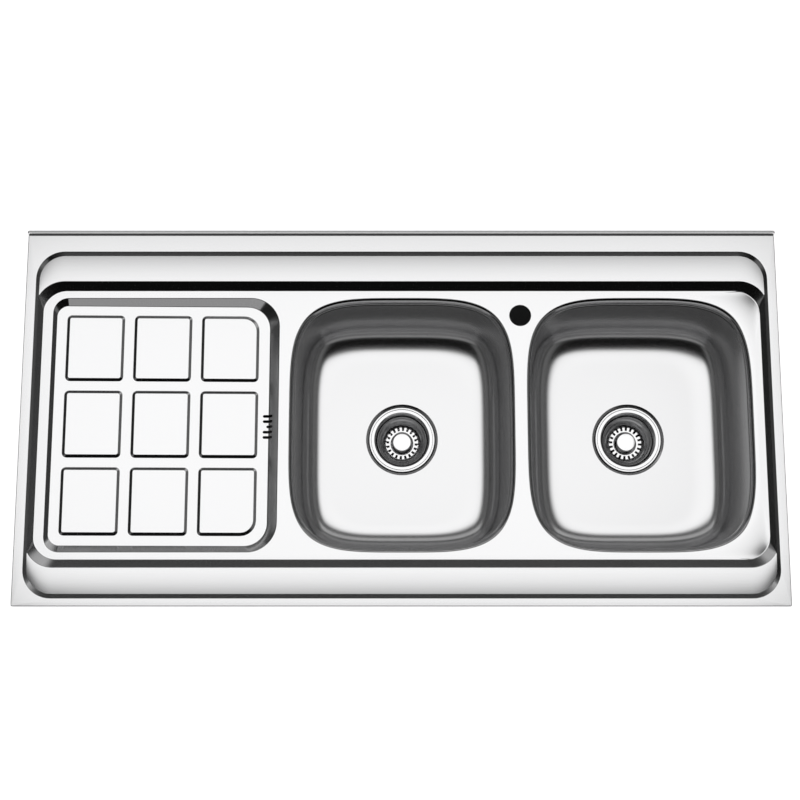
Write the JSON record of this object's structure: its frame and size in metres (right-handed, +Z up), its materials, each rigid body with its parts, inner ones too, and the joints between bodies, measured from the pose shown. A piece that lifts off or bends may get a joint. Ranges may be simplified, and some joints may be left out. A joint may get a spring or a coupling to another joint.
{
  "type": "lay-on kitchen sink",
  "caption": "Stainless lay-on sink with a shallow drainer tray on the left, deep bowls with lift-out basket strainers, a tap hole between the bowls and a low rear upstand.",
  "frame": {"origin": "plan centre of the outline, on the underside of the rest lip", "axes": "+X to the right with the drainer on the left, +Y to the wall, +Z up"},
  "size_m": [1.2, 0.6, 0.3155],
  "materials": {
    "satin_steel": "satin stainless sheet",
    "polished_steel": "polished stainless",
    "zinc_plate": "zinc plated steel",
    "black_rubber": "matte",
    "grey_damping": "matte damping pad",
    "white_plastic": "moulded plastic",
    "black_plastic": "moulded plastic",
    "slip_card": "fibre washer"
  },
  "bodies": {
    "sink": {"deck": "satin_steel", "left_bowl": "satin_steel", "right_bowl": "satin_steel", "left_sound_pad": "grey_damping", "right_sound_pad": "grey_damping", "tray_stiffener_left": "zinc_plate", "tray_stiffener_right": "zinc_plate", "tray_outlet_cup": "black_plastic", "tray_outlet_gasket": "black_rubber", "left_strainer_body": "polished_steel", "right_strainer_body": "polished_steel", "left_flange_seal": "black_rubber", "right_flange_seal": "black_rubber", "left_under_washer": "black_rubber", "right_under_washer": "black_rubber", "left_friction_washer": "slip_card", "right_friction_washer": "slip_card", "left_lock_nut": "white_plastic", "right_lock_nut": "white_plastic", "left_tail_washer": "black_rubber", "right_tail_washer": "black_rubber", "left_tailpiece": "white_plastic", "right_tailpiece": "white_plastic", "left_coupling_nut": "white_plastic", "right_coupling_nut": "white_plastic"},
    "left_strainer_basket": {"left_basket": "polished_steel", "left_basket_stopper": "black_rubber", "left_basket_knob": "polished_steel"},
    "right_strainer_basket": {"right_basket": "polished_steel", "right_basket_stopper": "black_rubber", "right_basket_knob": "polished_steel"}
  },
  "joints": [
    {"name": "left_basket_lift", "type": "slide", "parent": "sink", "child": "left_strainer_basket", "axis": [0, 0, 1], "range_m": [0, 0.25]},
    {"name": "right_basket_lift", "type": "slide", "parent": "sink", "child": "right_strainer_basket", "axis": [0, 0, 1], "range_m": [0, 0.25]}
  ]
}
